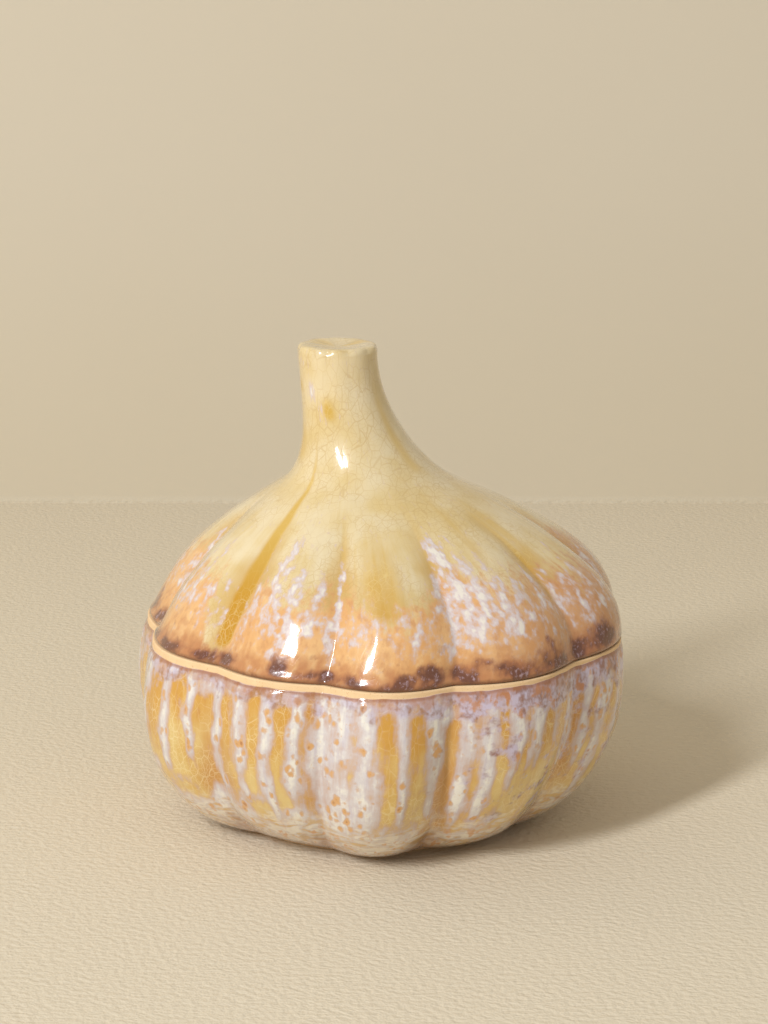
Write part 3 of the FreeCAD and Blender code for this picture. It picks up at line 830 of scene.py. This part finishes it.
def lid_glaze():
    """Reactive glaze on the lid: cream crackle over the dome and stem, amber pooled in the grooves, an
    apricot skirt under white and lilac flecks, and burnt patches along the edge."""
    g = Glaze("lid_glaze", ("skirt", "fleck", "pool", "burn"))
    height = g.height - BOWL_H
    # cream ground, honey in the grooves, partly glaze gathered there and partly painted shade, and amber
    # where it pools, under crackle lines
    streaks = g.streaks * g.step(height, 44.0, 24.0)
    ground = g.mix(g.step(g.clouds + streaks * 0.5, -0.9, 0.9), CREAM, HONEY)
    ground = g.mix(g.step(g.groove + g.clouds * 0.15, 0.15, 0.85) * 0.75, ground, GROOVE_HONEY_AND_SHADE)
    pooled = g.mix(g.step(height, 32.0, 10.0), THIN_POOL, THICK_POOL)
    pool = g.step(g.pool + streaks * 0.10, 0.05, 0.85)
    ground = g.mix(pool * 0.95, ground, pooled)
    crack = g.mix(g.step(pool, 0.2, 0.6), TAN_CRACK, POOL_CRACK)
    ground = g.mix(g.lines * 0.34, ground, crack)
    # apricot skirt, mottled, with painted shade on the right that browns it and adds violet mottles, and
    # darker at its foot
    warm = g.mix(g.step(g.clouds + g.streaks * 0.7, -0.9, 0.9), APRICOT, DEEP_APRICOT)
    warm = g.mix(g.step(g.blotches + g.specks * 0.4, 0.0, 0.9) * 0.45, warm, LIGHT_APRICOT)
    brown = g.step(g.ragged - g.blotches * 0.6 - g.clouds * 0.3, 0.0, 0.9)
    warm = g.mix(brown * 0.5, warm, SKIRT_BROWN)
    warm = g.mix(g.right * 0.6, warm, SHADE_SIDE_BROWN)
    warm = g.mix(g.right * g.step(g.specks + g.blotches, -0.2, 1.0) * 0.5, warm, SHADE_SIDE_VIOLET)
    low = g.step(height + g.clouds * 3.0 + g.blotches * 2.5 + g.ragged * 1.5, 8.5, 0.5)
    warm = g.mix(low * 0.75, warm, SKIRT_FOOT)
    unpooled = 1.0 - g.step(g.pool, 0.35, 0.75)
    skirt = g.step(g.skirt + g.ragged * 0.3 + g.streaks * 0.2, 0.2, 0.8) * unpooled
    colour = g.mix(skirt, ground, warm)
    # white and lilac flecks
    thick = g.fleck + g.drops * 0.5 + g.ragged * 0.15 + g.blotches * 0.45
    colour = g.mix(g.step(thick, 0.30, 0.90) * unpooled * 0.6, colour, FLECK_HALO)
    flecks = g.step(thick, 0.62, 1.10) * unpooled
    colour = g.mix(flecks * 0.85, colour, g.mix(g.step(thick, 0.95, 1.5), LILAC_FLECK, WHITE))
    # burnt patches, and a dark line at the lid's edge, partly the glaze's break and partly painted shade of
    # the gap over the rim
    charred = (g.burn * 1.5 - g.step(height, 9.0, 14.0) + g.ragged * 0.35 + g.blotches * 0.35
               + g.flowing(6.0, 5.0, 2.0) * 0.3 - 0.15)
    colour = g.mix(g.step(charred, 0.0, 0.7) * 0.75, colour, SINGED)
    char = g.mix(g.step(g.specks + g.ragged * 0.6, 0.1, 1.1), CHAR, ASH)
    colour = g.mix(g.step(charred, 0.45, 1.15) * 0.95, colour, char)
    colour = g.mix(g.step(height + g.ragged * 0.35, 1.6, 0.3) * 0.8, colour, EDGE_BREAK_AND_SHADE)
    return g.done(colour, flecks * 0.4)


# Backdrop, camera and light.
def backdrop():
    """Floor and wall in one sheet with a plain corner: a straight profile swept sideways. The wall
    stands a little askew, so that its foot draws level in the tilted picture."""
    front, back, top, half_width, askew = -1500, 337.0, 1600, 1600, 0.040
    floor_rows, wall_rows, columns = 60, 40, 60
    profile = np.concatenate([
        np.stack([np.linspace(front, back, floor_rows), np.zeros(floor_rows)], -1),
        np.stack([np.full(wall_rows, back), np.linspace(0, top, wall_rows + 1)[1:]], -1)])
    side = np.linspace(-half_width, half_width, columns)
    points = np.zeros((len(profile), columns, 3))
    points[..., 0] = side
    points[..., 1] = profile[:, :1] + askew * side
    points[..., 2] = profile[:, 1:]
    grid = np.arange(len(profile) * columns).reshape(-1, columns)
    sheet = in_scene("backdrop", points.reshape(-1, 3), quads_between(grid).tolist())
    paint = Paint("backdrop_paint", Roughness=0.75, Specular_IOR_Level=0.25)
    place = paint.place()
    depth, level = paint.part_of(place, "Y"), paint.part_of(place, "Z")
    # painted light: the floor lighter towards the front
    floor = paint.mix(paint.step(depth, -0.15, 0.30), NEAR_FLOOR_LIT, FAR_FLOOR)
    # painted shade: the wall a little darker towards its foot
    wall = paint.mix(paint.step(level, 0.0, 0.15), LOW_WALL_SHADE, HIGH_WALL)
    tone = paint.mix(paint.step(level, 0.0, 0.0002), floor, wall)
    tone = paint.mix(paint.noise(place, 9.0, 3.0) * 0.12, tone, SMUDGE)
    grain = paint.noise(paint.stretch(place, (0.8, 1.0, 1.0)), 640.0, 2.0, 0.5)
    grain = grain * paint.step(level, 0.0, 0.003, 1.0, 0.0)
    normal = paint.node("ShaderNodeBump", {}, Strength=0.4, Distance=0.0014, Height=grain)
    sheet.data.materials.append(paint.finish(Base_Color=tone, Normal=normal))
    # the camera looks through the sheet from behind, so that the object's back can be looked at
    camera_ray = paint.node("ShaderNodeLightPath", {}, out="Is Camera Ray")
    behind = paint.node("ShaderNodeNewGeometry", {}, out="Backfacing") * camera_ray
    seen = paint.node("ShaderNodeMixShader", {}, behind, Value(paint, paint.shader.outputs[0]),
                      paint.node("ShaderNodeBsdfTransparent", {}))
    paint.tree.links.new(seen.socket, paint.tree.nodes["Material Output"].inputs["Surface"])


def aim_camera():
    """A long lens 700 mm off, 14 degrees up, with the picture turned half a degree."""
    target = np.array([-0.46, 0.0, 80.2]) + AXIS
    tilt, roll, distance = math.radians(14.0), math.radians(0.57), 700.0
    forward = np.array([0.0, math.cos(tilt), -math.sin(tilt)])
    level, upright = np.array([1.0, 0.0, 0.0]), np.array([0.0, math.sin(tilt), math.cos(tilt)])
    right = level * math.cos(roll) + upright * math.sin(roll)
    up = upright * math.cos(roll) - level * math.sin(roll)
    camera = bpy.data.objects.new("camera", bpy.data.cameras.new("camera"))
    camera.data.lens, camera.data.sensor_width = 93.9, 36.0
    camera.data.clip_start, camera.data.clip_end = 0.01, 20.0
    turn = Matrix(np.stack([right, up, -forward], -1).tolist()).to_4x4()
    camera.matrix_world = Matrix.Translation(Vector((target - distance * forward) * MM)) @ turn
    bpy.context.scene.collection.objects.link(camera)
    bpy.context.scene.camera = camera


def softbox(name, bearing, tilt, distance, size, watts, colour):
    """A rectangular lamp that faces the middle of the object from a bearing and an elevation in
    degrees, with its distance, width and height in metres."""
    lamp = bpy.data.objects.new(name, bpy.data.lights.new(name, "AREA"))
    lamp.data.shape, (lamp.data.size, lamp.data.size_y) = "RECTANGLE", size
    lamp.data.energy, lamp.data.color = watts, colour
    b, t = math.radians(bearing), math.radians(tilt)
    away = Vector((math.sin(b) * math.cos(t), -math.cos(b) * math.cos(t), math.sin(t)))
    lamp.location = Vector((0, 0, 0.06)) + away * distance
    lamp.rotation_euler = away.to_track_quat("Z", "Y").to_euler()
    bpy.context.scene.collection.objects.link(lamp)


def room(colour, strength):
    """Even light from all round."""
    world = bpy.data.worlds.new("room")
    world.use_nodes = True
    background = world.node_tree.nodes["Background"]
    background.inputs["Color"].default_value, background.inputs["Strength"].default_value = colour, strength
    bpy.context.scene.world = world


bowl, lid = make_bowl(), make_lid()
bowl.data.materials.append(bowl_glaze())
lid.data.materials.append(lid_glaze())
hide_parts("bowl")
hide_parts("lid")
backdrop()
aim_camera()
softbox("key_light", bearing=-38.0, tilt=34.0, distance=2.4, size=(0.24, 0.95), watts=44.0,
        colour=(0.97, 1.0, 1.05))
room((1.0, 0.98, 0.93, 1.0), 0.43)
bpy.context.scene.view_settings.view_transform = "Standard"
